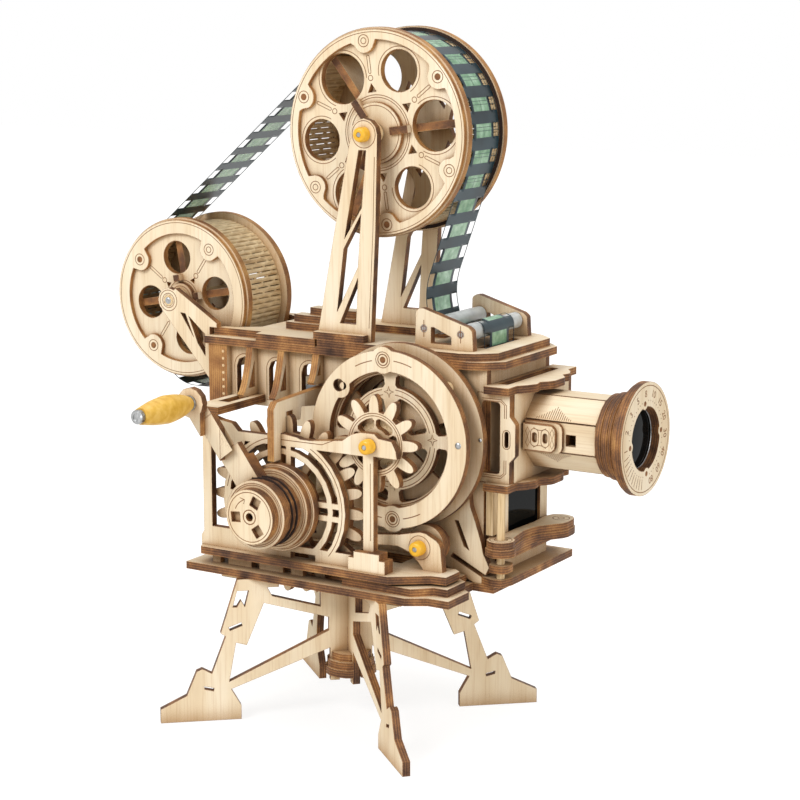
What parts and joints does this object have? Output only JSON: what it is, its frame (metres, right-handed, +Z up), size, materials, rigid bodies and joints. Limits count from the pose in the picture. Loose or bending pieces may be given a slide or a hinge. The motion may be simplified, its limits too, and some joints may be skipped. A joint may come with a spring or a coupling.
{
  "type": "hand-cranked toy projector kit",
  "caption": "Laser-cut plywood model of a hand-cranked film projector with meshing gears, film reels on towers, a turning lens ring and a splayed stand.",
  "frame": {"origin": "centre of the bounding box on the ground under the feet", "axes": "+X towards the lens, the crank and gears face -Y, +Z up"},
  "size_m": [0.2536, 0.1458, 0.2882],
  "materials": {
    "plywood": "satin laser-cut birch plywood",
    "plastic_yellow": "yellow turned cap",
    "wood_yellow": "yellow varnished wood",
    "steel": "plain",
    "plastic_white": "translucent white tube",
    "film": "dark teal film",
    "glass": "clear"
  },
  "bodies": {
    "housing": {"apron_plate": "plywood", "axle_caps": "plastic_yellow", "backing_ring": "plywood", "badge_plates": "plywood", "base_plate": "plywood", "bearing_frame": "plywood", "buttress": "plywood", "corbels": "plywood", "cross_walls": "plywood", "deck_blocks": "plywood", "deck_plate": "plywood", "end_posts": "plywood", "film": "film", "film_cheeks": "plywood", "fixed_axles": "plywood", "frame_links": "plywood", "front_ring": "plywood", "front_wall": "plywood", "gate_dowel": "plywood", "gate_frame": "plywood", "housing_floor": "plywood", "idler_bracket": "plywood", "leg_pair_left": "plywood", "leg_pair_right": "plywood", "lens_barrel": "plywood", "lens_caps": "plywood", "lens_face": "plywood", "lens_sides": "plywood", "lens_sleeve": "plywood", "lower_tier": "plywood", "rear_wall": "plywood", "reel_towers": "plywood", "reel_trusses": "plywood", "roof_plates": "plywood", "sill_plates": "plywood", "spoked_wheel": "plywood", "stand_collar": "plywood", "upper_tier": "plywood"},
    "crank": {"crank_gear": "plywood", "crank_shaft": "plywood", "crank_drums": "plywood", "crank_arm": "plywood", "handle_bolt": "steel"},
    "handle": {"handle_grip": "wood_yellow"},
    "pinion_and_shutter": {"pinion": "plywood", "pinion_shaft": "plywood", "pinion_cap": "plastic_yellow", "shutter": "plywood"},
    "idler": {"idler": "plywood"},
    "upper_reel": {"upper_reel_flanges": "plywood", "upper_reel_drum": "plywood", "upper_reel_spacers": "plywood"},
    "left_reel": {"left_reel_flanges": "plywood", "left_reel_drum": "plywood", "left_reel_spacers": "plywood"},
    "film_roller_left": {"roller_left": "plastic_white"},
    "film_roller_right": {"roller_right": "plastic_white"},
    "lens_ring": {"lens_ring": "plywood", "lens_glass": "glass"},
    "gate_lever": {"gate_lever": "plywood"}
  },
  "joints": [
    {"name": "crank_turn", "type": "hinge", "parent": "housing", "child": "crank", "pos_m": [-0.00985, -0.0162, 0.0933], "axis": [0, 1, 0], "continuous": true},
    {"name": "handle_turn", "type": "hinge", "parent": "crank", "child": "handle", "pos_m": [-0.04185, -0.0541, 0.1365], "axis": [0, 1, 0], "continuous": true},
    {"name": "pinion_turn", "type": "hinge", "parent": "housing", "child": "pinion_and_shutter", "pos_m": [0.03291, -0.0162, 0.12324], "axis": [0, 1, 0], "continuous": true},
    {"name": "idler_turn", "type": "hinge", "parent": "housing", "child": "idler", "pos_m": [0.04905, 0.0027, 0.0806], "axis": [0, 1, 0], "continuous": true},
    {"name": "upper_reel_turn", "type": "hinge", "parent": "housing", "child": "upper_reel", "pos_m": [0.01025, 0.0415, 0.245], "axis": [0, 1, 0], "continuous": true},
    {"name": "left_reel_turn", "type": "hinge", "parent": "housing", "child": "left_reel", "pos_m": [-0.09135, 0.0415, 0.169], "axis": [0, 1, 0], "continuous": true},
    {"name": "left_roller_turn", "type": "hinge", "parent": "housing", "child": "film_roller_left", "pos_m": [0.03785, 0.0415, 0.1668], "axis": [0, 1, 0], "continuous": true},
    {"name": "right_roller_turn", "type": "hinge", "parent": "housing", "child": "film_roller_right", "pos_m": [0.05515, 0.0415, 0.1656], "axis": [0, 1, 0], "continuous": true},
    {"name": "focus_turn", "type": "hinge", "parent": "housing", "child": "lens_ring", "pos_m": [0.11765, 0.0415, 0.1257], "axis": [1, 0, 0], "range_deg": [-170, 170]},
    {"name": "gate_lever_swing", "type": "hinge", "parent": "housing", "child": "gate_lever", "pos_m": [0.07645, 0.0129, 0.08], "axis": [0, 0, 1], "range_deg": [-75, 0]}
  ],
  "couplings": [
    {"joint": "pinion_turn", "follows": "crank_turn", "ratio": -2}
  ]
}
